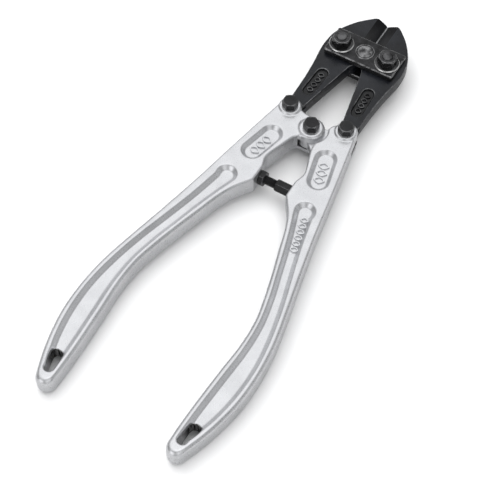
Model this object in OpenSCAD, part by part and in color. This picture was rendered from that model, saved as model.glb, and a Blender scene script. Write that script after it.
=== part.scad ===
// Compact centre-cut bolt cutters: two handles, two jaws, two joint plates and
// their fasteners. The jaws point along +Y and the tool lies flat on Z = 0.

/* [Linkage] */
// Half distance between the two jaw pivots
jaw_pivot_x = 14.5; // [14.5:0.1:14.8]
// Distance along Y from the centre pivot to the jaw pivots
jaw_pivot_y = 61.3; // [61:0.1:61.6]
// Half distance between the two link bolts
link_x = 17.5; // [17.3:0.1:17.6]
// Distance along Y from the centre pivot to the link bolts
link_y = 7.5; // [7.4:0.1:7.7]
// Height of the stop bolt's axis below the centre pivot, along Y
stop_y = -38.6; // [-39:0.1:-38.2]

/* [Thicknesses] */
// Thickness of the cast handles
handle_t = 12.6; // [12:0.2:13]
// Thickness of the jaws at the blades
jaw_t = 7.8; // [7.4:0.1:7.8]
// Thickness of the jaw's tail inside the handle's fork
tail_t = 3; // [2.6:0.1:3.4]
// Thickness of the right handle's tongue at the centre pivot
tongue_t = 5.8; // [5.4:0.1:5.8]
// Thickness of each joint plate
plate_t = 3.6; // [3:0.1:4]

/* [Handles] */
// Radius of the cheek round each link bolt
cheek_r = 6.6; // [6.4:0.1:6.7]
// Radius of the round lug at the centre pivot
lug_r = 7.8; // [7.6:0.1:7.8]
// Radius of the right handle's pocket round that lug
pocket_r = 9.3; // [9.2:0.1:9.4]
// Height of the bosses round the link and centre bolts
boss_h = 1; // [0.8:0.1:1.2]
// Depth of the oval panel recess and of the long grip channel
recess_d = 2.3; // [1.5:0.1:2.8]
// Depth of the round-ended recess in each jaw face
jaw_recess_d = 1.3; // [0.6:0.1:1.8]

/* [Joint plates] */
// Length of the joint plate across the tool
plate_l = 43.2; // [42:0.2:44]
// Width of the joint plate along the tool
plate_w = 18.8; // [18:0.2:20]

/* [Fasteners] */
// Radius of the plate bolts (M6)
plate_bolt_r = 3; // [2.9:0.05:3]
// Width across the flats of the plate nuts and bolt heads
plate_nut_af = 10; // [9.6:0.1:10.4]
// Radius of the link, centre and stop bolts (M5)
pivot_bolt_r = 2.5; // [2.4:0.05:2.5]
// Width across the flats of the link and centre bolt heads
pivot_head_af = 8; // [7.6:0.1:8.4]

/* [Hidden] */
$fn = 64;

// Running clearance between a bolt and its bore, and between sliding faces
fit = 0.05;
gap = 0.1;
// Half gap left between the closed cutting edges
edge_gap = 0.06;

jaw_pivot = [jaw_pivot_x, jaw_pivot_y];
link = [link_x, link_y];

washer_t = 1;
washer_r = 7.15;
plate_nut_t = 5;
plate_head_t = 4;
pivot_head_t = 4.3;
pivot_nut_t = 3.2;

// Heights above and below the tool's middle plane
face_z = handle_t / 2;
boss_z = face_z + boss_h;
plate_z = jaw_t / 2 + fit;
plate_face_z = plate_z + plate_t;
washer_face_z = plate_face_z + washer_t;
// Middle plane above the surface that the tool lies on
mid_z = washer_face_z + plate_head_t;

// Length of the whole tool along Y, and the middle of it
jaw_front_y = 92;
grip_tip = [37.9, -199];
grip_tip_r = 5.2;
mid_y = (jaw_front_y + grip_tip.y - grip_tip_r) / 2;

// Outer fork clearances: the handle's slot for the jaw tail
fork_r = 8.1;
fork_floor_y = -0.5;
shoulder_r = 7.2;
tail_eye_r = 5.6;

// The linkage closes through the centre pivot, which is left loose round the tongue
pivot_play = 1.3;
tongue_r = lug_r - 0.3;
tongue_bore_r = pivot_bolt_r + pivot_play;
tongue_slot_r = tongue_r + pivot_play + 0.2;

// Stop bolt: faces of the two bosses, jam nut and head
stop_face_x = 9.7;
jam_nut_t = 3.4;
jam_nut_af = 8;
stop_head_af = 6.6;
stop_head_x = 0.6;
stop_end_x = 9.3;
stop_shank_l = 18;
stop_hole_l = 14;

// ---- curves ----
function knot(a, b, c, d, t) =
    0.5 * (2 * b + (c - a) * t + (2 * a - 5 * b + 4 * c - d) * t * t
           + (3 * b - a - 3 * c + d) * t * t * t);
function spline(p, n) = concat(
    [for (i = [0:len(p) - 2], k = [0:n - 1])
        knot(p[max(i - 1, 0)], p[i], p[i + 1], p[min(i + 2, len(p) - 1)], k / n)],
    [p[len(p) - 1]]);
function arc(c, r, from, to, n) =
    [for (i = [0:n]) let (a = from + (to - from) * i / n) c + r * [cos(a), sin(a)]];
function stadium(p, q, r, n) =
    let (a = atan2(q.y - p.y, q.x - p.x))
    concat(arc(q, r, a - 90, a + 90, n), arc(p, r, a + 90, a + 270, n));

// Outline of a handle, drawn for the right side: straight upper arm, belly and tip
outer_edge = spline([
    [24.1, 7.5], [28, -12.5], [32.2, -35], [36.8, -60], [42.2, -85], [47.4, -108],
    [51.4, -128], [53, -146], [52.5, -163], [50, -177.5], [46.9, -189], [43.9, -197.4]
], 4);
inner_edge = spline([
    [32.6, -196.5], [32.6, -186], [33.1, -172], [34.2, -152], [35.3, -136], [34.6, -120],
    [31.4, -105], [27.4, -90], [23.6, -77], [20.2, -65], [16.3, -55.5], [9.8, -45.4]
], 4);
window_edge = spline([[10.2, -33.4], [11.3, -29], [10.4, -24.5], [8.4, -18.5], [6.8, -13.5]], 4);
grip_edge = concat(
    outer_edge,
    arc(grip_tip, grip_tip_r, -18, -172, 12),
    inner_edge,
    [[stop_face_x, -45], [stop_face_x, -34.6]],
    window_edge);
cheek_edge = arc(link, cheek_r, 150, 5, 16);

// Above the window, the tongued handle stops at the pocket round the lug
tongued_outline = concat(
    grip_edge,
    [[6.3, -10.5]],
    arc([0, 0], pocket_r, -48, 32, 12),
    [[8.6, 7.2], [9.9, 8.9]],
    cheek_edge);
// and the forked handle runs on into the lug itself
forked_outline = concat(
    grip_edge,
    [[5.4, -10], [3.9, -8.1], [2, -7.2], [0, 0], [2.5, 7.1], [5, 7.9], [7.6, 8.2], [10.4, 9.1]],
    cheek_edge);
tongue_outline = [[0, -5], [2.4, -7.5], [4.6, -9.2], [6.6, -12], [14, -12], [12, 2], [9, 6.8], [5, 5.9]];

// Long channel down the grip, and the hanging hole at its end
channel_outline = concat(
    spline([
        [29.9, -52], [33.8, -70], [38.6, -88], [43.8, -107], [47.8, -126], [49.9, -144],
        [49.4, -162], [46.5, -179], [41.9, -193]
    ], 4),
    arc([38.6, -194.6], 3.2, 12, -170, 6),
    spline([
        [35.4, -190], [35.8, -177], [37, -157], [38.1, -138], [37.4, -121],
        [34.2, -104.5], [30.2, -90], [26.4, -76], [22.4, -63], [18.9, -53]
    ], 4),
    arc([24.1, -49.4], 6, 205, 0, 10));
hanging_hole_outline = concat(
    spline([[36.7, -185.6], [37.5, -184], [39.8, -183.2], [42.4, -183.6],
        [43.7, -185.4], [42.9, -189.6], [41.1, -194.2]], 3),
    arc([38.6, -194.6], 2.5, -10, -172, 6));

// Outline of a jaw, drawn for the right side
jaw_outline = concat(
    [[edge_gap, 71.5], [edge_gap, jaw_front_y - 0.4], [4.2, jaw_front_y]],
    spline([
        [6, 91.9], [8.4, 90.7], [12.8, 86.6], [16.4, 82.6], [20.6, 76.2], [23.4, 70],
        [24.5, 63], [24.4, 55], [22.9, 44], [21.9, 32], [21.4, 17]
    ], 4),
    arc(link, shoulder_r, 57, 137, 8),
    [[3.8, 51.8]],
    arc(jaw_pivot, jaw_pivot_x - 0.15, 221, 180, 8),
    [[0.15, 62.5], [1.4, 64], [1.4, 70]]);
tail_outline = [[17.5, 7.5], [23, 9], [21.4, 18], [11.2, 15], [12.2, 9]];
cutting_bevel_w = 6.2;

// ---- shared shapes ----
module slab(points, from_z, to_z) {
    translate([0, 0, from_z]) linear_extrude(to_z - from_z) polygon(points);
}

// A hexagonal prism standing on z = 0, with two of its flats facing along X
module hexagon(af, h) {
    rotate([0, 0, 30]) cylinder(r = af / sqrt(3), h = h, $fn = 6);
}

module place() {
    translate([0, -mid_y, mid_z]) children();
}

module left_side() {
    mirror([1, 0, 0]) children();
}

// ---- handles, drawn for the right side ----
module handle_recesses() {
    for (side = [-1, 1]) {
        floor_z = side * (face_z - recess_d);
        slab(stadium([16.9, -14], [20.4, -28.6], 5.6, 10), min(floor_z, side * 10), max(floor_z, side * 10));
        slab(channel_outline, min(floor_z, side * 10), max(floor_z, side * 10));
    }
    slab(hanging_hole_outline, -10, 10);
}

// Slot that takes the jaw's tail, with the link bolt's bore through both cheeks
module link_fork() {
    translate([link.x, link.y, -tail_t / 2 - gap]) cylinder(r = fork_r, h = tail_t + 2 * gap);
    translate([link.x, fork_floor_y, -tail_t / 2 - gap]) cube([14, 20, tail_t + 2 * gap]);
    translate([link.x, link.y, -15]) cylinder(r = pivot_bolt_r + fit / 2, h = 30);
}

module link_bosses() {
    translate([link.x, link.y, face_z - 1]) cylinder(r = 6, h = boss_h + 1);
    translate([link.x, link.y, -boss_z]) cylinder(r = 6, h = boss_h + 1);
}

module handle_left() {
    color("silver") place() left_side() difference() {
        union() {
            slab(forked_outline, -face_z, face_z);
            translate([0, 0, -face_z]) cylinder(r = lug_r, h = handle_t);
            translate([0, 0, -boss_z]) cylinder(r = 6.6, h = 2 * boss_z);
            link_bosses();
        }
        handle_recesses();
        link_fork();
        translate([0, 0, -tongue_t / 2 - gap]) cylinder(r = tongue_slot_r, h = tongue_t + 2 * gap);
        translate([0, 0, -15]) cylinder(r = pivot_bolt_r + fit / 2, h = 30);
        translate([stop_face_x - 1, stop_y, 0]) rotate([0, 90, 0])
            cylinder(r = pivot_bolt_r + fit, h = stop_hole_l + 1);
    }
}

module handle_right() {
    color("silver") place() difference() {
        union() {
            slab(tongued_outline, -face_z, face_z);
            slab(tongue_outline, -tongue_t / 2, tongue_t / 2);
            translate([0, 0, -tongue_t / 2]) cylinder(r = tongue_r, h = tongue_t);
            link_bosses();
        }
        handle_recesses();
        link_fork();
        translate([0, 0, -15]) cylinder(r = tongue_bore_r, h = 30);
    }
}

// ---- jaws, drawn for the right side ----
module cutting_bevel() {
    slope = atan2(jaw_t / 2, cutting_bevel_w);
    translate([edge_gap, 60, 0]) rotate([0, -slope, 0]) translate([-5, 0, 0]) cube([20, 50, 10]);
}

module jaw_body() {
    difference() {
        union() {
            slab(jaw_outline, -jaw_t / 2, jaw_t / 2);
            slab(tail_outline, -tail_t / 2, tail_t / 2);
            translate([link.x, link.y, -tail_t / 2]) cylinder(r = tail_eye_r, h = tail_t);
        }
        difference() {
            union() {
                cutting_bevel();
                mirror([0, 0, 1]) cutting_bevel();
            }
            translate([-10, 0, -20]) cube([40, 70, 40]);
        }
        slab(stadium([15.3, 24.8], [14.6, 39.4], 3.4, 10), jaw_t / 2 - jaw_recess_d, 10);
        slab(stadium([15.3, 24.8], [14.6, 39.4], 3.4, 10), -10, jaw_recess_d - jaw_t / 2);
        translate([link.x, link.y, -15]) cylinder(r = pivot_bolt_r + fit, h = 30);
        translate([jaw_pivot.x, jaw_pivot.y, -15]) cylinder(r = plate_bolt_r + fit, h = 30);
    }
}

module jaw_left() {
    color([0.14, 0.15, 0.17]) place() left_side() jaw_body();
}

module jaw_right() {
    color([0.14, 0.15, 0.17]) place() jaw_body();
}

// ---- joint plates and their bolts ----
module joint_plate(from_z) {
    corner = 1.2;
    half = [plate_l / 2 - corner, plate_w / 2 - corner];
    points = [for (q = [0:3]) each
        arc([half.x * (q == 0 || q == 3 ? 1 : -1), 62.4 + half.y * (q < 2 ? 1 : -1)],
            corner, 90 * q, 90 * q + 90, 4)];
    difference() {
        slab(points, from_z, from_z + plate_t);
        for (side = [-1, 1])
            translate([side * jaw_pivot.x, jaw_pivot.y, from_z - 1])
                cylinder(r = plate_bolt_r + fit / 2, h = plate_t + 2);
    }
}

module joint_plate_top() {
    color([0.2, 0.2, 0.21]) place() joint_plate(plate_z);
}

module joint_plate_bottom() {
    color([0.2, 0.2, 0.21]) place() joint_plate(-plate_face_z);
}

module at_jaw_pivot(side, z) {
    translate([side * jaw_pivot.x, jaw_pivot.y, z]) children();
}

module plate_bolt(side) {
    end_z = washer_face_z + plate_nut_t + 0.8;
    color([0.25, 0.25, 0.26]) place() {
        at_jaw_pivot(side, -mid_z) hexagon(plate_nut_af, plate_head_t);
        at_jaw_pivot(side, -washer_face_z - 1) cylinder(r = plate_bolt_r, h = washer_face_z + 1 + end_z);
    }
}

module plate_nut(side) {
    color([0.25, 0.25, 0.26]) place() at_jaw_pivot(side, washer_face_z) difference() {
        hexagon(plate_nut_af, plate_nut_t);
        translate([0, 0, -1]) cylinder(r = plate_bolt_r + fit / 2, h = plate_nut_t + 2);
    }
}

module plate_washer(side, z) {
    color("gainsboro") place() at_jaw_pivot(side, z) difference() {
        cylinder(r = washer_r, h = washer_t);
        translate([0, 0, -1]) cylinder(r = plate_bolt_r + fit, h = washer_t + 2);
    }
}

module plate_bolt_left() { plate_bolt(-1); }
module plate_bolt_right() { plate_bolt(1); }
module plate_nut_left() { plate_nut(-1); }
module plate_nut_right() { plate_nut(1); }
module plate_washer_left() { plate_washer(-1, plate_face_z); }
module plate_washer_right() { plate_washer(1, plate_face_z); }
module plate_under_washer_left() { plate_washer(-1, -washer_face_z); }
module plate_under_washer_right() { plate_washer(1, -washer_face_z); }

// ---- link and centre bolts ----
module pivot_bolt(pos) {
    end_z = boss_z + pivot_nut_t + 0.3;
    color([0.12, 0.12, 0.13]) place() translate([pos.x, pos.y, 0]) {
        translate([0, 0, boss_z]) hexagon(pivot_head_af, pivot_head_t);
        translate([0, 0, -end_z]) cylinder(r = pivot_bolt_r, h = end_z + boss_z + 1);
    }
}

module pivot_nut(pos) {
    color([0.12, 0.12, 0.13]) place() translate([pos.x, pos.y, -boss_z - pivot_nut_t]) difference() {
        hexagon(pivot_head_af, pivot_nut_t);
        translate([0, 0, -1]) cylinder(r = pivot_bolt_r + fit / 2, h = pivot_nut_t + 2);
    }
}

module link_bolt_left() { pivot_bolt([-link.x, link.y]); }
module link_bolt_right() { pivot_bolt(link); }
module link_nut_left() { pivot_nut([-link.x, link.y]); }
module link_nut_right() { pivot_nut(link); }
module centre_bolt() { pivot_bolt([0, 0]); }
module centre_nut() { pivot_nut([0, 0]); }

// ---- adjustable stop between the handles ----
module stop_bolt() {
    color([0.1, 0.1, 0.11]) place() translate([0, stop_y, 0]) rotate([0, 90, 0]) {
        translate([0, 0, stop_head_x]) hexagon(stop_head_af, stop_end_x - stop_head_x);
        translate([0, 0, stop_head_x - stop_shank_l]) cylinder(r = pivot_bolt_r, h = stop_shank_l + 1);
    }
}

module stop_jam_nut() {
    color([0.1, 0.1, 0.11]) place() translate([-stop_face_x, stop_y, 0]) rotate([0, 90, 0]) difference() {
        hexagon(jam_nut_af, jam_nut_t);
        translate([0, 0, -1]) cylinder(r = pivot_bolt_r + fit, h = jam_nut_t + 2);
    }
}

handle_left();
handle_right();
jaw_left();
jaw_right();
joint_plate_top();
joint_plate_bottom();
plate_bolt_left();
plate_bolt_right();
plate_nut_left();
plate_nut_right();
plate_washer_left();
plate_washer_right();
plate_under_washer_left();
plate_under_washer_right();
link_bolt_left();
link_bolt_right();
link_nut_left();
link_nut_right();
centre_bolt();
centre_nut();
stop_bolt();
stop_jam_nut();
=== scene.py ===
"""Looks of the compact bolt cutters: cast handles, forged jaws and plates, and their fasteners.

Shapes are drawn in millimetres round the centre pivot, with +Y towards the jaws and z = 0 at the
tool's middle plane, and finish_piece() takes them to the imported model's frame in metres.
"""

import math

import bpy
import numpy as np
from mathutils import Matrix, Vector


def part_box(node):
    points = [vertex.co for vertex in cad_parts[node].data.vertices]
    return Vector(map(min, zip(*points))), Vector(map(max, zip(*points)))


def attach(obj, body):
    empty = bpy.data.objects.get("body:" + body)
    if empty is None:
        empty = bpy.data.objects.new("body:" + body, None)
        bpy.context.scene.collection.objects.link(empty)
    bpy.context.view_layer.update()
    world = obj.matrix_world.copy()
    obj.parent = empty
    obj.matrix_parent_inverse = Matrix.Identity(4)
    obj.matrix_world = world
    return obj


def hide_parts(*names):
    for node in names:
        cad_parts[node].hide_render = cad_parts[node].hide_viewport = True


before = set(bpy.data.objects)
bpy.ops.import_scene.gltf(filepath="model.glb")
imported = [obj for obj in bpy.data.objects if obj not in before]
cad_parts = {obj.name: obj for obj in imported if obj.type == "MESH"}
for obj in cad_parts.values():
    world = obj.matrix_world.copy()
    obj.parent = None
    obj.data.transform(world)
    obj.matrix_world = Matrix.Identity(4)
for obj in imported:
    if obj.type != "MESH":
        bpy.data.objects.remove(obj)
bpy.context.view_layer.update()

MM = 0.001


def centre_of(node):
    """Middle of a CAD node's box."""
    low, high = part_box(node)
    return (low + high) / 2


# The centre pivot at the tool's middle plane, in the frame
PIVOT = Vector((0.0, centre_of("centre_bolt").y, centre_of("jaw_left").z))

# Linkage
LINK = np.array([17.5, 7.5])
JAW_PIVOT = np.array([14.5, 61.3])
STOP_Y = (centre_of("stop_bolt").y - PIVOT.y) / MM

# Thicknesses, as half heights above the middle plane
FACE_Z = 6.3
BOSS_Z = 7.3
JAW_Z = 3.9
TAIL_Z = 1.5
TONGUE_Z = 2.9
PLATE_Z = 3.95
PLATE_FACE_Z = 7.55
WASHER_FACE_Z = 8.55

# Handle details
LUG_R = 7.8
POCKET_R = 9.3
CHEEK_R = 6.6
RECESS_DEPTH = 2.5
PANEL_ENDS = [16.9, -14], [20.4, -28.6]
PANEL_R = 6.1
HOLE_DRAFT = 0.14
GRIP_END_Y = -198
GRIP_TIP = [37.9, -199]
GRIP_TIP_R = 5.2
STOP_FACE_X = 9.7

# Gap on each face between a slot and what it takes
SLOT_GAP = 0.1

# Radii of bolts and bores
PIVOT_BOLT_R = 2.5
PIVOT_BORE_R = 2.55
CENTRE_BORE_R = 3.8
PLATE_BOLT_R = 3.0
PLATE_BORE_R = 3.05

# Face numbers of a piece's materials
PLAIN, WORN, DULLED, GROUND_AND_RECESS_SHADE = range(4)
# Face number of the dark streaked walls of holes and slots, which are painted shade
STREAKED_SHADE = 1

# Sizes of the cells that the cast handles and the hexagons are sampled in
CAST_CELL = 0.5
SMALL_CELL = 0.17

# Faces sharper than this, in degrees, keep a crisp edge in the shading
SHARP_ANGLE = 32.0


# ---------------------------------------------------------------- curves
def spline(points, steps=8):
    """Smooth curve through the points (Catmull-Rom)."""
    p = [np.array(q, float) for q in points]
    out = []
    for i in range(len(p) - 1):
        a, b, c, d = p[max(i - 1, 0)], p[i], p[i + 1], p[min(i + 2, len(p) - 1)]
        for k in range(steps):
            t = k / steps
            out.append(0.5 * (2 * b + (c - a) * t + (2 * a - 5 * b + 4 * c - d) * t * t
                              + (3 * b - a - 3 * c + d) * t ** 3))
    return out + [p[-1]]


def arc(centre, radius, start, end, steps):
    """Points along an arc, from the start angle to the end angle in degrees."""
    angles = np.radians(np.linspace(start, end, steps + 1))
    return [np.array(centre) + radius * np.array([math.cos(a), math.sin(a)]) for a in angles]


# ---------------------------------------------------------------- distance fields
def smooth_step(t):
    """0 below 0 and 1 above 1, with a soft rise between them."""
    t = np.clip(t, 0.0, 1.0)
    return t * t * (3 - 2 * t)


def smooth_min(a, b, radius):
    """Join of two fields with a fillet."""
    h = np.clip(0.5 + 0.5 * (b - a) / radius, 0.0, 1.0)
    return b + (a - b) * h - radius * h * (1 - h)


def smooth_max(a, b, radius):
    """Overlap of two fields with a rounded edge."""
    return -smooth_min(-a, -b, radius)


def rounded(side, height, radius):
    """Distance to a slab with its top edge rounded, from the distance to its outline and to its face."""
    across, up = side + radius, height + radius
    outer = np.hypot(np.maximum(across, 0), np.maximum(up, 0))
    return outer + np.minimum(np.maximum(across, up), 0) - radius


def stadium_distance(x, y, start, end, radius):
    """Signed distance in the plane to a slot with round ends."""
    ax, ay = x - start[0], y - start[1]
    bx, by = end[0] - start[0], end[1] - start[1]
    t = np.clip((ax * bx + ay * by) / (bx * bx + by * by), 0, 1)
    return np.hypot(ax - t * bx, ay - t * by) - radius


class Outline:
    """Signed distance in the plane to a closed outline, looked up in a table of samples."""

    STEP = 0.4

    def __init__(self, points, margin=4.0):
        ring = np.array(points, float)
        self.low = ring.min(0) - margin
        count = np.ceil((ring.max(0) + margin - self.low) / self.STEP).astype(int) + 2
        x = self.low[0] + self.STEP * np.arange(count[0])[:, None]
        y = self.low[1] + self.STEP * np.arange(count[1])[None, :]
        nearest = np.full(count, 1e9)
        inside = np.zeros(count, bool)
        for (ax, ay), (bx, by) in zip(ring, np.roll(ring, -1, 0)):
            dx, dy = bx - ax, by - ay
            span = dx * dx + dy * dy
            if span < 1e-12:
                continue
            t = np.clip(((x - ax) * dx + (y - ay) * dy) / span, 0, 1)
            nearest = np.minimum(nearest, (x - ax - t * dx) ** 2 + (y - ay - t * dy) ** 2)
            if ay != by:
                crosses = ((ay > y) != (by > y)) & (x < ax + dx * (y - ay) / dy)
                inside ^= crosses
        self.table = np.where(inside, -1, 1) * np.sqrt(nearest)
        self.high = self.low + self.STEP * (count - 1.001)

    def __call__(self, x, y):
        near_x, near_y = np.clip(x, self.low[0], self.high[0]), np.clip(y, self.low[1], self.high[1])
        u = (near_x - self.low[0]) / self.STEP
        v = (near_y - self.low[1]) / self.STEP
        i, j = u.astype(int), v.astype(int)
        u, v = u - i, v - j
        t = self.table
        inside_table = ((1 - u) * (1 - v) * t[i, j] + u * (1 - v) * t[i + 1, j]
                        + (1 - u) * v * t[i, j + 1] + u * v * t[i + 1, j + 1])
        return inside_table + np.hypot(x - near_x, y - near_y)


def gradient(field, p):
    """Slope of the field at the points."""
    step = 0.02
    slopes = []
    for axis in range(3):
        shift = np.zeros(3)
        shift[axis] = step
        a, b = p + shift, p - shift
        slopes.append((field(a[:, 0], a[:, 1], a[:, 2]) - field(b[:, 0], b[:, 1], b[:, 2])) / (2 * step))
    return np.stack(slopes, 1)


def onto_surface(field, p, reach):
    """Moves points along the field's slope until they lie on its surface."""
    slope = gradient(field, p)
    steep = np.maximum((slope ** 2).sum(1), 0.04)
    move = -(field(p[:, 0], p[:, 1], p[:, 2]) / steep)[:, None] * slope
    length = np.linalg.norm(move, axis=1)
    move *= np.minimum(1.0, reach / np.maximum(length, 1e-9))[:, None]
    return p + move


def surface_of(field, low, high, cell):
    """Even quad mesh of the surface where the field is zero, as (points, quads)."""
    low, high = np.array(low, float), np.array(high, float)
    count = np.ceil((high - low) / cell).astype(int) + 1
    x, y, z = (low[i] + cell * np.arange(count[i]) for i in range(3))
    inside = field(x[:, None, None], y[None, :, None], z[None, None, :]) < 0
    total = np.zeros(count - 1, np.int8)
    for i in (0, 1):
        for j in (0, 1):
            for k in (0, 1):
                total += inside[i:count[0] - 1 + i, j:count[1] - 1 + j, k:count[2] - 1 + k]
    crossed = (total > 0) & (total < 8)
    number = np.full(count - 1, -1)
    number[crossed] = np.arange(crossed.sum())
    points = low + cell * (np.argwhere(crossed) + 0.5)
    quads = []
    for axis in range(3):
        b, c = (axis + 1) % 3, (axis + 2) % 3
        near = np.take(inside, range(count[axis] - 1), axis)
        far = np.take(inside, range(1, count[axis]), axis)
        at = np.argwhere(near != far)
        at = at[(at[:, b] > 0) & (at[:, c] > 0) & (at[:, b] < count[b] - 1) & (at[:, c] < count[c] - 1)]
        solid_first = near[tuple(at.T)]
        corners = []
        for db, dc in ((0, 0), (1, 0), (1, 1), (0, 1)):
            q = at.copy()
            q[:, b] -= db
            q[:, c] -= dc
            corners.append(number[tuple(q.T)])
        quad = np.stack(corners, 1)
        quad[~solid_first] = quad[~solid_first][:, ::-1]
        quads.append(quad)
    quads = np.concatenate(quads)
    for _ in range(3):
        points = onto_surface(field, points, cell)
    for _ in range(3):
        points = evened(points, quads)
        points = onto_surface(field, points, cell)
    points = onto_surface(field, points, cell)
    return points, quads


def evened(points, quads):
    """Every point moved halfway to the mean of its neighbours."""
    total = np.zeros_like(points)
    share = np.zeros(len(points))
    for k in range(4):
        a, b = quads[:, k], quads[:, (k + 1) % 4]
        for one, other in ((a, b), (b, a)):
            for i in range(3):
                total[:, i] += np.bincount(one, points[other, i], len(points))
            share += np.bincount(one, minlength=len(points))
    return 0.5 * points + 0.5 * total / np.maximum(share, 1)[:, None]


# ---------------------------------------------------------------- meshes
def add_object(name, points, faces):
    """New object from points in millimetres round the centre pivot."""
    mesh = bpy.data.meshes.new(name)
    mesh.from_pydata([tuple(p) for p in np.asarray(points, float)], [], [tuple(f) for f in faces])
    mesh.validate()
    obj = bpy.data.objects.new(name, mesh)
    bpy.context.scene.collection.objects.link(obj)
    return obj


def mirrored(points, quads):
    """The same surface for the left side."""
    return points * np.array([-1, 1, 1]), quads[:, ::-1]


def prism(ring, low_z, high_z):
    """(points, faces) of an upright solid on an outline given anticlockwise."""
    n = len(ring)
    points = [(p[0], p[1], low_z) for p in ring] + [(p[0], p[1], high_z) for p in ring]
    sides = [(i, (i + 1) % n, n + (i + 1) % n, n + i) for i in range(n)]
    return points, [tuple(range(n))[::-1], tuple(range(n, 2 * n))] + sides


def lathe(profile, steps=64):
    """(points, faces) of a closed solid turned round Z from (radius, z) pairs that run up the outside."""
    points = [(0, 0, profile[0][1])]
    for r, z in profile:
        for k in range(steps):
            a = 2 * math.pi * k / steps
            points.append((r * math.cos(a), r * math.sin(a), z))
    points.append((0, 0, profile[-1][1]))
    faces = []
    for k in range(steps):
        nxt = (k + 1) % steps
        faces.append((0, 1 + nxt, 1 + k))
        last = 1 + (len(profile) - 1) * steps
        faces.append((len(points) - 1, last + k, last + nxt))
        for row in range(len(profile) - 1):
            a, b = 1 + row * steps, 1 + (row + 1) * steps
            faces.append((a + k, a + nxt, b + nxt, b + k))
    return points, faces


def apply_modifiers(obj):
    """Bakes the modifiers into the mesh."""
    graph = bpy.context.evaluated_depsgraph_get()
    mesh = bpy.data.meshes.new_from_object(obj.evaluated_get(graph))
    obj.modifiers.clear()
    old, obj.data = obj.data, mesh
    bpy.data.meshes.remove(old)


def combine(obj, operation, *tools):
    """Cuts the tools from obj or joins them to it, then deletes them."""
    for tool in tools:
        modifier = obj.modifiers.new("join", "BOOLEAN")
        modifier.operation = operation
        modifier.solver = "MANIFOLD"
        modifier.object = tool
    apply_modifiers(obj)
    for tool in tools:
        bpy.data.objects.remove(tool)
    return obj


def add_materials(obj, materials):
    """Appends the materials to the mesh, in the order of its face numbers."""
    for material in materials:
        obj.data.materials.append(material)


def number_faces(obj, choose):
    """Gives each face the material whose number choose(face) returns."""
    for face in obj.data.polygons:
        face.material_index = choose(face)


def solid(shape, offset=(0, 0, 0), turn=None, materials=()):
    """Object for a (points, faces) or (points, faces, material numbers) shape, turned and then moved."""
    points, faces, *numbers = shape
    points = np.array(points, float)
    if turn is not None:
        points = points @ np.array(turn.to_3x3()).T
    obj = add_object("tool", points + np.array(offset, float), faces)
    add_materials(obj, materials)
    if numbers:
        obj.data.polygons.foreach_set("material_index", numbers[0])
    return obj


def drill(radius, x=0.0, y=0.0, reach=15.0):
    """Cutter for a round bore along Z."""
    return solid(lathe([(radius, -reach), (radius, reach)]), (x, y, 0))


def bevel(obj, width):
    """Rounds the sharp edges and gives the rounding the object's worn material."""
    modifier = obj.modifiers.new("edge", "BEVEL")
    modifier.width = width
    modifier.segments = 3
    modifier.limit_method = "ANGLE"
    modifier.angle_limit = math.radians(50)
    modifier.material = WORN
    apply_modifiers(obj)


def finish_piece(obj, node, process, body):
    """Takes the piece that stands for a CAD node to the frame, gives it its name and body, and hides the
    node.
    """
    mesh = obj.data
    obj.name = mesh.name = f"{node}_{process}"
    mesh.transform(Matrix.Translation(PIVOT) @ Matrix.Scale(MM, 4))
    mesh.set_sharp_from_angle(angle=math.radians(SHARP_ANGLE))
    mesh.polygons.foreach_set("use_smooth", [True] * len(mesh.polygons))
    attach(obj, body)
    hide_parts(node)


# ---------------------------------------------------------------- handles
outer_edge = spline([
    [24.1, 7.5], [28, -12.5], [32.2, -35], [36.8, -60], [42.2, -85], [47.4, -108],
    [51.4, -128], [53, -146], [52.5, -163], [50, -177.5], [46.9, -189], [43.9, -197.4],
])
inner_edge = spline([
    [32.6, -196.5], [32.6, -186], [33.1, -172], [34.2, -152], [35.3, -136], [34.6, -120],
    [31.4, -105], [27.4, -90], [23.6, -77], [20.2, -65], [16.3, -55.5], [9.8, -45.4],
])
window_edge = spline([[10.2, -33.4], [11.3, -29], [10.4, -24.5], [8.4, -18.5], [6.8, -13.5]])
grip_edge = (
    outer_edge + arc(GRIP_TIP, GRIP_TIP_R, -18, -172, 24) + inner_edge
    + [[STOP_FACE_X, -45], [STOP_FACE_X, -34.6]] + window_edge
)
cheek_edge = arc(LINK, CHEEK_R, 150, 5, 24)
tongued_outline = Outline(
    grip_edge + [[6.3, -10.5]] + arc([0, 0], POCKET_R, -48, 32, 20) + [[8.6, 7.2], [9.9, 8.9]] + cheek_edge
)
forked_outline = Outline(
    grip_edge
    + [[5.4, -10], [3.9, -8.1], [2, -7.2], [0, 0], [2.5, 7.1], [5, 7.9], [7.6, 8.2], [10.4, 9.1]]
    + cheek_edge
)
tongue_outline = Outline(
    [[0, -5], [2.4, -7.5], [4.6, -9.2], [6.6, -12], [14, -12], [12, 2], [9, 6.8], [5, 5.9]]
)
channel_outline = Outline(
    spline([
        [29.9, -52], [33.8, -70], [38.6, -88], [43.8, -107], [47.8, -126], [49.9, -144],
        [49.4, -162], [46.5, -179], [41.9, -193],
    ])
    + arc([38.6, -194.6], 3.2, 12, -170, 16)
    + spline([
        [35.4, -190], [35.8, -177], [37, -157], [38.1, -138], [37.4, -121],
        [34.2, -104.5], [30.2, -90], [26.4, -76], [22.4, -63], [18.9, -53],
    ])
    + arc([24.1, -49.4], 6, 205, 0, 20)
)
hole_outline = Outline(
    spline([
        [36.7, -185.6], [37.5, -184], [39.8, -183.2], [42.4, -183.6], [43.7, -185.4], [42.9, -189.6],
        [41.1, -194.2],
    ])
    + arc([38.6, -194.6], 2.5, -10, -172, 14)
)


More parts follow.
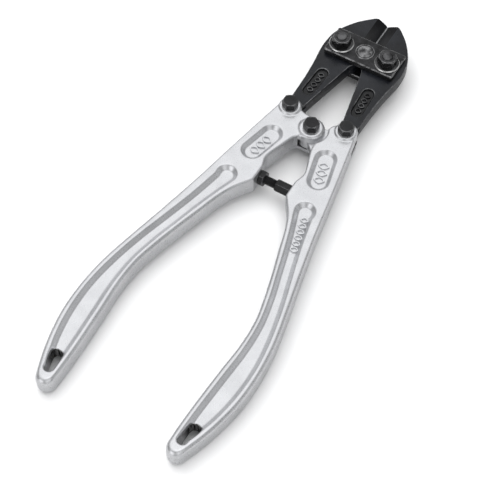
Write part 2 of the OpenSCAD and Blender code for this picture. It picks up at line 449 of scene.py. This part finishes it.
def edge_radius(y):
    """Rounding of the handle's edges: tight at the joint, full along the grip and fullest at its end."""
    grip = smooth_step((-30 - y) / 70)
    end = smooth_step((GRIP_END_Y - y) / 4)
    return 1.1 + 1.0 * grip + 0.9 * end


def boss(x, y, z, centre, top_r, base_r):
    """Low round boss with sloping sides on both faces of a handle."""
    reach = np.hypot(x - centre[0], y - centre[1])
    slope = (base_r - top_r) / (BOSS_Z - FACE_Z)
    height = np.abs(z)
    side = (reach - top_r - slope * (BOSS_Z - height)) / math.hypot(1, slope)
    side = np.maximum(side, reach - base_r)
    return np.maximum(smooth_max(side, height - BOSS_Z, 0.25), FACE_Z - 1.5 - height)


def handle_field(outline, forked):
    """Casting without its slots, bores and marks, drawn for the right side."""
    def field(x, y, z):
        side = outline(x, y)
        if forked:
            side = smooth_min(side, np.hypot(x, y) - LUG_R, 1.5)
        channel = smooth_step((0.3 - channel_outline(x, y)) / 3.2)
        panel = smooth_step((0.4 - stadium_distance(x, y, *PANEL_ENDS, PANEL_R)) / 2.6)
        face = FACE_Z - RECESS_DEPTH * (channel + panel)
        height = np.abs(z)
        body = rounded(side + 0.3 * (height / FACE_Z) ** 2, height - face, edge_radius(y))
        body = smooth_max(body, -hole_outline(x, y) - HOLE_DRAFT * (FACE_Z - height), 1.0)
        body = smooth_min(body, boss(x, y, z, LINK, 5.65, 6.5), 0.4)
        if forked:
            body = smooth_min(body, boss(x, y, z, [0, 0], 6.1, 7.4), 0.4)
        else:
            tongue = smooth_min(tongue_outline(x, y), np.hypot(x, y) - 7.5, 0.5)
            body = smooth_min(body, rounded(tongue, height - TONGUE_Z, 0.4), 0.4)
        return body
    return field


def slot_tool(shape, offset=(0, 0, 0)):
    """Cutter that leaves walls darkened with painted shade in a casting."""
    points, faces = shape
    return solid((points, faces, [STREAKED_SHADE] * len(faces)), offset, materials=CAST)


def fork_tools(side):
    """Cutters for the slot that takes the jaw's tail, and for its bore."""
    slot_z = TAIL_Z + SLOT_GAP
    x, y = side * LINK[0], LINK[1]
    round_end = slot_tool(lathe([(8.1, -slot_z), (8.1, slot_z)]), (x, y, 0))
    ring = [(x, -0.5), (x + side * 14, -0.5), (x + side * 14, 20), (x, 20)]
    opening = slot_tool(prism(ring if side > 0 else ring[::-1], -slot_z, slot_z))
    return [round_end, opening, drill(PIVOT_BORE_R, x, y)]


def raised_diamond(centre, across, along, stroke, floor_z, crest_z, angle=0.0, steps=32):
    """Raised outline of a diamond with soft corners, standing on a recess floor, as a generic mark."""
    turn = Matrix.Rotation(math.radians(angle), 2)
    shoulder_z = 0.3 * floor_z + 0.7 * crest_z
    rows = [(1.0, floor_z), (1.0, shoulder_z), (1 - 0.15 * stroke, crest_z), (1 - 0.85 * stroke, crest_z),
            (1 - stroke, shoulder_z), (1 - stroke, floor_z)]
    points = []
    for share, z in rows:
        for k in range(steps):
            a = 2 * math.pi * k / steps
            reach = share / (abs(math.cos(a)) ** 1.3 + abs(math.sin(a)) ** 1.3) ** (1 / 1.3)
            p = turn @ Vector((across * reach * math.cos(a), along * reach * math.sin(a)))
            points.append((centre[0] + p.x, centre[1] + p.y, z))
    faces = []
    for row in range(len(rows)):
        a, b = row * steps, (row + 1) % len(rows) * steps
        faces += [(a + k, a + (k + 1) % steps, b + (k + 1) % steps, b + k) for k in range(steps)]
    if crest_z < floor_z:
        faces = [f[::-1] for f in faces]
    return add_object("tool", points, faces)


def handle_marks(side):
    """Raised diamonds in the oval panels and, on the right handle, at the top of the channels."""
    recess_z = FACE_Z - RECESS_DEPTH
    marks = []
    for face in (1, -1):
        heights = face * (recess_z - 0.6), face * (recess_z + 0.85)
        for k in range(3):
            down = 3.6 + 4.7 * k
            centre = (side * (PANEL_ENDS[0][0] + 0.24 * down), PANEL_ENDS[0][1] - down)
            marks.append(raised_diamond(centre, 3.2, 2.35, 0.34, *heights, side * 13.5))
        if side > 0:
            for k in range(6):
                down = 3.75 * k
                centre = (26.1 + 0.23 * down, -53.8 - down)
                marks.append(raised_diamond(centre, 2.5, 1.8, 0.4, *heights, 13))
    return marks


def build_handle(side):
    """Left handle, forked at the centre pivot, or right handle, with the tongue."""
    forked = side < 0
    outline = forked_outline if forked else tongued_outline
    low = [-9.5 if forked else -9, -206, -8.5]
    points, quads = surface_of(handle_field(outline, forked), low, [55, 16.5, 8.5], CAST_CELL)
    middle = points[quads].mean(1)
    # The hanging hole's walls take the dark streaked material, which is painted shade
    in_hole = (hole_outline(middle[:, 0], middle[:, 1]) < 0.4) & (np.abs(middle[:, 2]) < 3.6)
    if forked:
        points, quads = mirrored(points, quads)
    obj = solid((points, quads, in_hole.astype(np.int32)), materials=CAST)
    cuts = fork_tools(side)
    if forked:
        slot_z = TONGUE_Z + SLOT_GAP
        cuts.append(slot_tool(lathe([(9.0, -slot_z), (9.0, slot_z)])))
        cuts.append(drill(PIVOT_BORE_R))
        cuts.append(solid(lathe([(2.6, 0), (2.6, 20)]), (-STOP_FACE_X + 1, STOP_Y, 0),
                          Matrix.Rotation(math.radians(-90), 3, "Y")))
    else:
        cuts.append(drill(CENTRE_BORE_R))
    combine(obj, "DIFFERENCE", *cuts)
    combine(obj, "UNION", *handle_marks(side))
    return obj


# ---------------------------------------------------------------- jaws
RECESS_ENDS = [15.3, 24.8], [14.6, 39.4]
RECESS_FLOOR_Z = JAW_Z - 1.3
BLADE_Y = 70.0
BEVEL_WIDTH = 6.2
EDGE_LAND_X = 0.38
EDGE_LAND_Z = 0.25


def jaw_ring():
    """Clockwise outline of the right jaw, from the blade round the outside to the tail and back."""
    return (
        [[0.06, 71.5], [0.06, 91.6], [1.2, 92.0], [4.2, 92.0]]
        + spline([
            [6, 91.9], [8.4, 90.7], [12.8, 86.6], [16.4, 82.6], [20.6, 76.2], [23.4, 70],
            [24.5, 63], [24.4, 55], [22.9, 44], [21.9, 32], [21.4, 17],
        ], 5)
        + arc(LINK, 7.2, 57, 137, 16)
        + [[3.8, 51.8]]
        + arc(JAW_PIVOT, 14.35, 221, 180, 12)
        + [[0.15, 62.5], [1.4, 64], [1.4, 70]]
    )


def cutting_wedge(face):
    """Solid that takes the bevel off one face of the blade, down to a narrow flat along the edge."""
    rise = (JAW_Z - EDGE_LAND_Z) / BEVEL_WIDTH
    left, right, top = -3.0, 8.0, 14.0
    right_z = EDGE_LAND_Z + (right - EDGE_LAND_X) * rise
    section = [(left, EDGE_LAND_Z), (EDGE_LAND_X, EDGE_LAND_Z), (right, right_z), (right, top), (left, top)]
    points = [(x, y, face * z) for y in (BLADE_Y, 110.0) for x, z in section]
    n = len(section)
    faces = [tuple(range(n)), tuple(range(n, 2 * n))[::-1]]
    faces += [(k, n + k, n + (k + 1) % n, (k + 1) % n) for k in range(n)]
    if face < 0:
        faces = [f[::-1] for f in faces]
    return points, faces


def jaw_face_material(face):
    """Number of a jaw face's material, by where it lies: bevels, blade edge, recess marks, rim, and the
    recess's walls and floor darkened as painted shade.
    """
    x, y, z = face.center
    upright = abs(face.normal.z)
    depth = JAW_Z - abs(z)
    if y > BLADE_Y and face.normal.x < -0.45 and upright > 0.8:
        return GROUND_AND_RECESS_SHADE
    if y > BLADE_Y and x < 0.5 and upright > 0.9:
        return WORN
    if stadium_distance(x, y, *RECESS_ENDS, 4.0) < 0 and upright > 0.2 and depth > 0.01:
        if 0.45 < depth < 0.75 and upright > 0.9:
            return DULLED
        # Inside the recess, the floor and walls take the darkest steel as painted shade; the rim takes the
        # worn steel
        return WORN if depth < 0.27 and upright < 0.95 else GROUND_AND_RECESS_SHADE
    return face.material_index


def build_jaw(side):
    """Jaw with its blade's bevels, its recesses and the thinner tail that its handle's fork takes."""
    body = solid(prism(jaw_ring()[::-1], -JAW_Z, JAW_Z), materials=JAW)
    bevel(body, 0.55)
    tail_ring = [LINK, [23, 9], [21.4, 18], [11.2, 15], [12.2, 9]]
    tail = solid(prism(tail_ring, -TAIL_Z, TAIL_Z))
    eye_profile = [(5.3, -TAIL_Z), (5.6, -TAIL_Z + 0.3), (5.6, TAIL_Z - 0.3), (5.3, TAIL_Z)]
    combine(body, "UNION", tail, solid(lathe(eye_profile), (*LINK, 0)))
    cuts = [solid(cutting_wedge(1)), solid(cutting_wedge(-1))]
    cuts += [drill(PIVOT_BORE_R, *LINK), drill(PLATE_BORE_R, *JAW_PIVOT)]
    cuts += [solid(recess_tool(1)), solid(recess_tool(-1))]
    combine(body, "DIFFERENCE", *cuts)
    marks = []
    for face in (1, -1):
        for k in range(4):
            centre = (15.2 - 0.17 * k, 26.2 + 4.0 * k)
            marks.append(raised_diamond(centre, 2.1, 1.9, 0.4, face * (JAW_Z - 1.7), face * (JAW_Z - 0.6)))
    combine(body, "UNION", *marks)
    number_faces(body, jaw_face_material)
    if side < 0:
        body.data.transform(Matrix.Scale(-1, 4, (1, 0, 0)))
        body.data.flip_normals()
    return body


def recess_tool(face):
    """Pocket with drafted walls and a softened mouth in one face of a jaw."""
    a, b = np.array(RECESS_ENDS)
    angle = math.degrees(math.atan2(b[1] - a[1], b[0] - a[0]))
    rows = [(2.9, RECESS_FLOOR_Z), (3.2, RECESS_FLOOR_Z + 0.2), (3.45, JAW_Z - 0.28), (3.85, JAW_Z),
            (4.6, JAW_Z + 0.5)]
    points, n = [], 0
    for r, z in rows:
        ring = arc(b, r, angle - 90, angle + 90, 14) + arc(a, r, angle + 90, angle + 270, 14)
        n = len(ring)
        points += [(q[0], q[1], face * z) for q in ring]
    faces = [tuple(range(n))[::-1], tuple(range((len(rows) - 1) * n, len(rows) * n))]
    for row in range(len(rows) - 1):
        s, t = row * n, (row + 1) * n
        faces += [(s + k, s + (k + 1) % n, t + (k + 1) % n, t + k) for k in range(n)]
    if face < 0:
        faces = [f[::-1] for f in faces]
    return points, faces


# ---------------------------------------------------------------- joint plates
PLATE_Y = 62.4
PLATE_HALF = 21.6, 9.4
PLATE_CORNER_R = 1.3
# Raised disc with a ring groove, as (radius, height above the plate)
MEDALLION = [(5.6, -1), (5.6, 0.1), (5.35, 0.4), (5.0, 0.4), (4.85, 0.2), (4.35, 0.2), (4.2, 0.4),
             (0.4, 0.55)]


def build_plate(face):
    """Top plate for face 1 and bottom plate for face -1."""
    ring = []
    for k, (sx, sy) in enumerate(((1, 1), (-1, 1), (-1, -1), (1, -1))):
        centre = [sx * (PLATE_HALF[0] - PLATE_CORNER_R), PLATE_Y + sy * (PLATE_HALF[1] - PLATE_CORNER_R)]
        ring += arc(centre, PLATE_CORNER_R, 90 * k, 90 * k + 90, 5)
    low, high = sorted((face * PLATE_Z, face * PLATE_FACE_Z))
    obj = solid(prism(ring, low, high), materials=PLATE)
    bevel(obj, 0.7)
    bores = [drill(PLATE_BOLT_R + 0.03, side * JAW_PIVOT[0], JAW_PIVOT[1], 20) for side in (-1, 1)]
    combine(obj, "DIFFERENCE", *bores)
    turn = None if face > 0 else UPSIDE_DOWN
    combine(obj, "UNION", solid(lathe(MEDALLION, 96), (0, PLATE_Y, face * PLATE_FACE_Z), turn))
    number_faces(obj, lambda f: WORN if abs(f.center.z) > PLATE_FACE_Z + 0.25 else f.material_index)
    return obj


# ---------------------------------------------------------------- fasteners
def hexagon_field(flats, height, chamfer_r, both_ends=False, bore=None):
    """Nut or bolt head on z = 0, flats facing X, with its corners turned off at the top."""
    def field(x, y, z):
        across = np.maximum(np.abs(x), np.abs(0.5 * x + math.sqrt(0.75) * y))
        across = np.maximum(across, np.abs(0.5 * x - math.sqrt(0.75) * y)) - flats / 2
        reach = np.hypot(x, y)
        body = smooth_max(across, np.maximum(z - height, -z), 0.3)
        body = smooth_max(body, (reach - chamfer_r) * 0.5 + (z - height) * 0.866, 0.22)
        if both_ends:
            body = smooth_max(body, (reach - chamfer_r) * 0.5 - z * 0.866, 0.22)
        if bore:
            body = smooth_max(body, bore - reach, 0.3)
        return body
    return field


def hexagon(flats, height, chamfer_r, both_ends=False, bore=None):
    """(points, faces, material numbers) of a nut or bolt head, worn on the edges between its facets."""
    reach = flats * 0.6 + 0.6
    points, quads = surface_of(hexagon_field(flats, height, chamfer_r, both_ends, bore),
                               [-reach, -reach, -0.7], [reach, reach, height + 0.7], SMALL_CELL)
    corners = points[quads]
    normal = np.cross(corners[:, 2] - corners[:, 0], corners[:, 3] - corners[:, 1])
    normal /= np.maximum(np.linalg.norm(normal, axis=1), 1e-12)[:, None]
    angle = np.degrees(np.arctan2(normal[:, 1], normal[:, 0])) % 60
    upright = np.abs(normal[:, 2])
    on_side = (upright < 0.12) & (np.minimum(angle, 60 - angle) < 8)
    on_end = upright > 0.985
    on_chamfer = np.abs(upright - 0.866) < 0.04
    return points, quads, np.where(on_side | on_end | on_chamfer, PLAIN, WORN)


def dome_profile(radius, base_z, top_z, rim):
    """Outside of a bolt's end from its shank up over a softly domed top."""
    out = [(radius, base_z)]
    for k in range(7):
        a = math.radians(90 * k / 6)
        out.append((radius - rim + rim * math.cos(a), top_z - rim * 0.9 + rim * 0.6 * math.sin(a)))
    for share in (0.6, 0.35, 0.12):
        out.append(((radius - rim) * share, top_z - 0.3 * rim * share))
    return out


def thread(radius, depth, pitch, from_z, to_z, steps=48):
    """(points, faces) of a threaded rod along Z, with smooth rounded crests."""
    rows = int((to_z - from_z) / (pitch / 8))
    points = [(0, 0, from_z)]
    for row in range(rows + 1):
        z = from_z + (to_z - from_z) * row / rows
        for k in range(steps):
            a = 2 * math.pi * k / steps
            phase = (z / pitch - k / steps) % 1.0
            r = radius - depth * abs(2 * phase - 1) ** 1.3
            points.append((r * math.cos(a), r * math.sin(a), z))
    points.append((0, 0, to_z))
    faces = []
    for k in range(steps):
        nxt = (k + 1) % steps
        faces.append((0, 1 + nxt, 1 + k))
        last = 1 + rows * steps
        faces.append((len(points) - 1, last + k, last + nxt))
        for row in range(rows):
            a, b = 1 + row * steps, 1 + (row + 1) * steps
            faces.append((a + k, a + nxt, b + nxt, b + k))
    return points, faces


def build_plate_bolt(head, x, y):
    """Plate bolt with its head below and a dulled dome above its nut."""
    bolt = solid(head, (x, y, -WASHER_FACE_Z), UPSIDE_DOWN, FASTENER)
    profile = dome_profile(PLATE_BOLT_R, -WASHER_FACE_Z - 1, WASHER_FACE_Z + 5.8, 0.9)
    shank = solid(lathe(profile), (x, y, 0), materials=FASTENER)
    number_faces(shank, lambda f: DULLED if f.center.z > WASHER_FACE_Z + 5 else PLAIN)
    return combine(bolt, "UNION", shank)


def build_washer(x, y, z):
    """Washer with a bright chamfered rim, and flat faces in dark steel as painted shade from its nut."""
    washer = solid(lathe([(7.0, 0), (7.2, 0.12), (7.2, 0.42), (6.72, 0.94), (6.55, 1.0)], 96), (x, y, z))
    combine(washer, "DIFFERENCE", solid(lathe([(PLATE_BORE_R, -2), (PLATE_BORE_R, 3)]), (x, y, z)))
    washer.data.materials.clear()
    add_materials(washer, WASHER)
    # The flat faces take the dark phosphate steel as painted shade; WORN is only the number of the second
    # material here
    number_faces(washer, lambda f: WORN if abs(f.normal.z) > 0.9 else PLAIN)
    return washer


def build_pivot_bolt(head, x, y):
    """Link or centre bolt, with a chamfered end below its nut."""
    bolt = solid(head, (x, y, BOSS_Z), materials=BLACK)
    end_z = -BOSS_Z - 3.5
    profile = [(PIVOT_BOLT_R - 0.4, end_z), (PIVOT_BOLT_R, end_z + 0.4), (PIVOT_BOLT_R, BOSS_Z + 1)]
    return combine(bolt, "UNION", solid(lathe(profile), (x, y, 0)))


def build_stop_bolt():
    """Stop bolt along X: its head between the handles, and its thread running into the left handle."""
    head = solid(hexagon(6.6, 8.7, 3.25, both_ends=True), (0.6, STOP_Y, 0), ALONG_X, BLACK)
    return combine(head, "UNION", solid(thread(2.48, 0.35, 0.8, -17.4, 1.6), (0, STOP_Y, 0), ALONG_X))


# ---------------------------------------------------------------- materials
class Nodes:
    """Short calls to build one material's node tree."""

    def __init__(self, name):
        self.material = bpy.data.materials.new(name)
        self.material.use_nodes = True
        self.tree = self.material.node_tree
        self.shader = self.tree.nodes["Principled BSDF"]
        self.coordinates = self.tree.nodes.new("ShaderNodeTexCoord").outputs["Object"]

    def add(self, kind, **settings):
        node = self.tree.nodes.new(kind)
        for key, value in settings.items():
            setattr(node, key, value)
        return node

    def link(self, source, target):
        self.tree.links.new(source, target)

    def noise(self, scale, detail=3.0, roughness=0.5):
        node = self.add("ShaderNodeTexNoise")
        node.inputs["Scale"].default_value = scale
        node.inputs["Detail"].default_value = detail
        node.inputs["Roughness"].default_value = roughness
        self.link(self.coordinates, node.inputs["Vector"])
        return node.outputs["Fac"]

    def remap(self, value, from_low, from_high, to_low=0.0, to_high=1.0):
        node = self.add("ShaderNodeMapRange")
        node.inputs["From Min"].default_value = from_low
        node.inputs["From Max"].default_value = from_high
        node.inputs["To Min"].default_value = to_low
        node.inputs["To Max"].default_value = to_high
        self.link(value, node.inputs["Value"])
        return node.outputs["Result"]

    def mix_colour(self, share, first, second):
        node = self.add("ShaderNodeMix", data_type="RGBA")
        self.link(share, node.inputs["Factor"])
        node.inputs["A"].default_value = (*first, 1)
        node.inputs["B"].default_value = (*second, 1)
        return node.outputs["Result"]

    def bump(self, height, strength, distance, before=None):
        node = self.add("ShaderNodeBump")
        node.inputs["Strength"].default_value = strength
        node.inputs["Distance"].default_value = distance
        self.link(height, node.inputs["Height"])
        if before is not None:
            self.link(before, node.inputs["Normal"])
        return node.outputs["Normal"]

    def set(self, **numbers):
        for key, number in numbers.items():
            self.shader.inputs[key.replace("_", " ")].default_value = number


def cast_aluminium():
    """Satin casting: faint cloudy tone, soft undulation and a fine grain."""
    m = Nodes("cast_aluminium")
    tone = m.remap(m.noise(90, 4, 0.6), 0.35, 0.65)
    m.link(m.mix_colour(tone, (0.63, 0.635, 0.65), (0.69, 0.695, 0.71)), m.shader.inputs["Base Color"])
    grain = m.noise(1500, 2, 0.6)
    m.link(m.remap(grain, 0.3, 0.7, 0.26, 0.34), m.shader.inputs["Roughness"])
    soft = m.bump(m.noise(220, 3, 0.5), 0.3, 0.0001)
    m.link(m.bump(grain, 0.4, 0.000012, soft), m.shader.inputs["Normal"])
    m.set(Metallic=0.85)
    return m.material


def streaked_shade_casting():
    """Walls of holes and slots: painted shade, dark with lighter streaks, and lighter towards the grip's end
    of a hanging hole.
    """
    darker_y, lighter_y = -187.5, -192
    m = Nodes("streaked_shade_casting")
    place = m.add("ShaderNodeSeparateXYZ")
    m.link(m.coordinates, place.inputs["Vector"])
    lighter_end = m.remap(place.outputs["Y"], PIVOT.y + darker_y * MM, PIVOT.y + lighter_y * MM)
    stretch = m.add("ShaderNodeMapping")
    stretch.inputs["Scale"].default_value = (1.0, 1.0, 0.15)
    m.link(m.coordinates, stretch.inputs["Vector"])
    m.coordinates = stretch.outputs["Vector"]
    streak = m.add("ShaderNodeMath", operation="MAXIMUM")
    m.link(m.remap(m.noise(900, 3, 0.6), 0.4, 0.62, 0.0, 0.5), streak.inputs[0])
    m.link(lighter_end, streak.inputs[1])
    share = streak.outputs["Value"]
    m.link(m.mix_colour(share, (0.012, 0.012, 0.012), (0.6, 0.6, 0.61)), m.shader.inputs["Base Color"])
    m.link(m.remap(share, 0, 1, 0.6, 0.35), m.shader.inputs["Roughness"])
    m.set(Metallic=0.8)
    return m.material


def dark_steel(name, dark, light, metallic, rough_low, rough_high, bump_scale=900, bump_depth=0.00006,
               tone_scale=160):
    """Steel with a mottled tone between two colours, uneven gloss and a fine bump."""
    m = Nodes(name)
    tone = m.remap(m.noise(tone_scale, 5, 0.65), 0.35, 0.7)
    m.link(m.mix_colour(tone, dark, light), m.shader.inputs["Base Color"])
    fine = m.noise(bump_scale, 3, 0.6)
    m.link(m.remap(m.noise(420, 4, 0.6), 0.3, 0.7, rough_low, rough_high), m.shader.inputs["Roughness"])
    m.link(m.bump(fine, 0.4, bump_depth), m.shader.inputs["Normal"])
    m.set(Metallic=metallic, Specular_IOR_Level=0.35)
    return m.material


def zinc():
    """Bright plated metal."""
    m = Nodes("bright_zinc")
    tone = m.remap(m.noise(500, 3, 0.6), 0.35, 0.65)
    m.link(m.mix_colour(tone, (0.66, 0.66, 0.65), (0.8, 0.8, 0.79)), m.shader.inputs["Base Color"])
    m.link(m.remap(m.noise(900, 3, 0.5), 0.3, 0.7, 0.2, 0.34), m.shader.inputs["Roughness"])
    m.set(Metallic=1.0)
    return m.material


# ---------------------------------------------------------------- build
aluminium = cast_aluminium()
# Dark streaked walls of holes and slots: painted shade
streaked_shade_walls = streaked_shade_casting()
jaw_steel = dark_steel("blued_jaw_steel", (0.002, 0.0023, 0.0032), (0.011, 0.0125, 0.0165), 0.0, 0.24, 0.4,
                       tone_scale=45)
worn_jaw_steel = dark_steel("worn_jaw_steel", (0.06, 0.06, 0.063), (0.36, 0.365, 0.37), 0.9, 0.2, 0.32)
# Darkest steel: the blades' ground bevels, and painted shade on the floors and walls of the jaws' recesses
ground_and_shade_steel = dark_steel("ground_jaw_steel_and_recess_shade", (0.001, 0.001, 0.0012), (0.004, 0.0043, 0.0055), 0.0, 0.16,
                          0.26)
plate_steel = dark_steel("forged_plate_steel", (0.006, 0.006, 0.0065), (0.035, 0.035, 0.037), 0.4, 0.22, 0.36,
                         bump_scale=420, bump_depth=0.00008)
worn_plate_steel = dark_steel("worn_plate_steel", (0.04, 0.04, 0.041), (0.34, 0.34, 0.343), 0.9, 0.18, 0.32,
                              tone_scale=320)
fastener_steel = dark_steel("phosphate_steel", (0.02, 0.02, 0.021), (0.08, 0.08, 0.082), 0.85, 0.14, 0.25)
worn_fastener_steel = dark_steel("worn_phosphate_steel", (0.07, 0.07, 0.072), (0.34, 0.34, 0.343), 0.92, 0.14,
                                 0.24)
dulled_steel = dark_steel("dulled_steel", (0.03, 0.03, 0.031), (0.15, 0.15, 0.153), 0.85, 0.12, 0.22)
black_steel = dark_steel("black_oxide_steel", (0.002, 0.002, 0.0025), (0.012, 0.012, 0.013), 0.1, 0.24, 0.38)
worn_black_steel = dark_steel("worn_black_steel", (0.03, 0.03, 0.032), (0.26, 0.26, 0.265), 0.9, 0.2, 0.32)
bright_zinc = zinc()

# Each kind of piece's materials, by face number
CAST = aluminium, streaked_shade_walls
JAW = jaw_steel, worn_jaw_steel, dulled_steel, ground_and_shade_steel
PLATE = plate_steel, worn_plate_steel
FASTENER = fastener_steel, worn_fastener_steel, dulled_steel
# Bright zinc on the rim, and dark phosphate steel on the flat faces as painted shade
WASHER = bright_zinc, fastener_steel
BLACK = black_steel, worn_black_steel

UPSIDE_DOWN = Matrix.Rotation(math.pi, 3, "X")
ALONG_X = Matrix.Rotation(math.radians(90), 3, "Y")
SIDES = (-1, "left"), (1, "right")

for side, word in SIDES:
    finish_piece(build_handle(side), f"handle_{word}", "cast", f"{word}_handle")
    finish_piece(build_jaw(side), f"jaw_{word}", "forged", f"{word}_jaw")

for face, word in (1, "top"), (-1, "bottom"):
    finish_piece(build_plate(face), f"joint_plate_{word}", "forged", "joint")

plate_nut = hexagon(10, 5, 4.75, both_ends=True, bore=PLATE_BORE_R)
plate_head = hexagon(10, 4, 4.75)
for side, word in SIDES:
    x, y = side * JAW_PIVOT[0], JAW_PIVOT[1]
    nut = solid(plate_nut, (x, y, WASHER_FACE_Z), materials=FASTENER)
    finish_piece(nut, f"plate_nut_{word}", "turned", "joint")
    bolt = build_plate_bolt(plate_head, x, y)
    finish_piece(bolt, f"plate_bolt_{word}", "turned", "joint")
    for z, kind in (PLATE_FACE_Z, "washer"), (-WASHER_FACE_Z, "under_washer"):
        finish_piece(build_washer(x, y, z), f"plate_{kind}_{word}", "pressed", "joint")

pivot_head = hexagon(8, 4.3, 3.85)
pivot_nut = hexagon(8, 3.2, 3.8, both_ends=True, bore=PIVOT_BORE_R)
for node, body, x, y in (("link_{}_left", "left_handle", -LINK[0], LINK[1]),
                         ("link_{}_right", "right_handle", LINK[0], LINK[1]),
                         ("centre_{}", "left_handle", 0, 0)):
    finish_piece(build_pivot_bolt(pivot_head, x, y), node.format("bolt"), "turned", body)
    nut = solid(pivot_nut, (x, y, -BOSS_Z), UPSIDE_DOWN, BLACK)
    finish_piece(nut, node.format("nut"), "turned", body)

finish_piece(build_stop_bolt(), "stop_bolt", "threaded", "stop_screw")
jam_nut = solid(hexagon(8, 3.4, 3.9, both_ends=True, bore=2.6), (-STOP_FACE_X, STOP_Y, 0), ALONG_X, BLACK)
finish_piece(jam_nut, "stop_jam_nut", "turned", "left_handle")


# ---------------------------------------------------------------- stage, light and camera
SKY_DARK = 0.2
# Direction, spread in degrees, and strength
SKY_PANELS = [
    ((-0.32, 0.3, 0.9), 56, 0.95),
    ((0.1, 0.0, 1.0), 28, 0.5),
    ((-0.3, -0.85, 0.42), 32, 1.3),
    ((0.65, -0.5, 0.55), 34, 0.8),
    ((0.85, 0.45, 0.2), 36, 0.35),
]
# Location, size and power of the softboxes
SOFTBOXES = {
    "key": ((-0.9, 0.35, 1.2), 1.5, 6.6),
    "top": ((-0.4, 0.5, 1.5), 2.4, 18.5),
    "fill": ((1.0, -0.8, 1.1), 1.2, 6),
}


def add_stage():
    """Pale floor that touches the lower bolt heads and the ends of the grips."""
    grip_z = PIVOT.z - FACE_Z * MM
    head_y, grip_y = PIVOT.y + JAW_PIVOT[1] * MM, PIVOT.y + GRIP_END_Y * MM
    slope = grip_z / (head_y - grip_y)
    half, gap = 6.0, 0.0001
    mesh = bpy.data.meshes.new("floor")
    corners = [(-half, -half), (half, -half), (half, half), (-half, half)]
    mesh.from_pydata([(x, y, (head_y - y) * slope - gap) for x, y in corners], [], [(0, 1, 2, 3)])
    floor = bpy.data.objects.new("floor", mesh)
    bpy.context.scene.collection.objects.link(floor)
    m = Nodes("pale_floor")
    m.set(Roughness=0.9, Specular_IOR_Level=0.1)
    # The floor is darker to glossy rays than to direct view: painted shade in what the metal reflects
    glossy_ray = m.add("ShaderNodeLightPath").outputs["Is Glossy Ray"]
    m.link(m.mix_colour(glossy_ray, (0.9, 0.9, 0.9), (0.6, 0.6, 0.6)), m.shader.inputs["Base Color"])
    mesh.materials.append(m.material)


def add_light(name, location, size, power):
    """Softbox that lights and casts shadows, and isn't seen in the gloss: the studio sky is."""
    light = bpy.data.lights.new(name, "AREA")
    light.energy = power
    light.size = size
    obj = bpy.data.objects.new(name, light)
    obj.visible_glossy = False
    obj.location = location
    obj.rotation_euler = (PIVOT - Vector(location)).to_track_quat("-Z", "Y").to_euler()
    bpy.context.scene.collection.objects.link(obj)


def add_camera():
    """Camera that looks down on the closed tool from in front of its grips, from the right."""
    azimuth, elevation, distance = math.radians(30.715), math.radians(56.408), 0.77335
    back = Vector((math.sin(azimuth) * math.cos(elevation), -math.cos(azimuth) * math.cos(elevation),
                   math.sin(elevation)))
    target = PIVOT + Vector((1.837, -79.18, 0)) * MM
    camera = bpy.data.cameras.new("camera")
    camera.sensor_width = 36.0
    camera.lens = 110.68
    obj = bpy.data.objects.new("camera", camera)
    obj.location = target + back * distance
    obj.rotation_euler = (-back).to_track_quat("-Z", "Y").to_euler()
    bpy.context.scene.collection.objects.link(obj)
    bpy.context.scene.camera = obj


def add_sky():
    """Studio sky: pale overhead, dark at the horizon and below, with soft panels that glint on edges."""
    world = bpy.data.worlds.new("studio")
    bpy.context.scene.world = world
    world.use_nodes = True
    tree = world.node_tree
    direction = tree.nodes.new("ShaderNodeTexCoord").outputs["Generated"]

    def plus(first, second=None, number=0.0):
        """Sum of a socket and a second socket or a number."""
        node = tree.nodes.new("ShaderNodeMath")
        node.inputs[1].default_value = number
        tree.links.new(first, node.inputs[0])
        if second is not None:
            tree.links.new(second, node.inputs[1])
        return node.outputs["Value"]

    def glow(towards, spread, strength):
        """Brightness that grows smoothly to its full strength within spread degrees of a direction."""
        dot = tree.nodes.new("ShaderNodeVectorMath")
        dot.operation = "DOT_PRODUCT"
        tree.links.new(direction, dot.inputs[0])
        dot.inputs[1].default_value = Vector(towards).normalized()
        shape = tree.nodes.new("ShaderNodeMapRange")
        shape.interpolation_type = "SMOOTHSTEP"
        shape.inputs["From Min"].default_value = math.cos(math.radians(spread))
        shape.inputs["From Max"].default_value = 1.0
        shape.inputs["To Max"].default_value = strength
        tree.links.new(dot.outputs["Value"], shape.inputs["Value"])
        return shape.outputs["Result"]

    total = glow(*SKY_PANELS[0])
    for panel in SKY_PANELS[1:]:
        total = plus(total, glow(*panel))
    background = tree.nodes["Background"]
    background.inputs["Color"].default_value = (0.985, 0.99, 1.0, 1)
    tree.links.new(plus(total, number=SKY_DARK), background.inputs["Strength"])


add_camera()
add_stage()
for name, (location, size, power) in SOFTBOXES.items():
    add_light(name, location, size, power)
add_sky()
bpy.context.scene.view_settings.view_transform = "Standard"
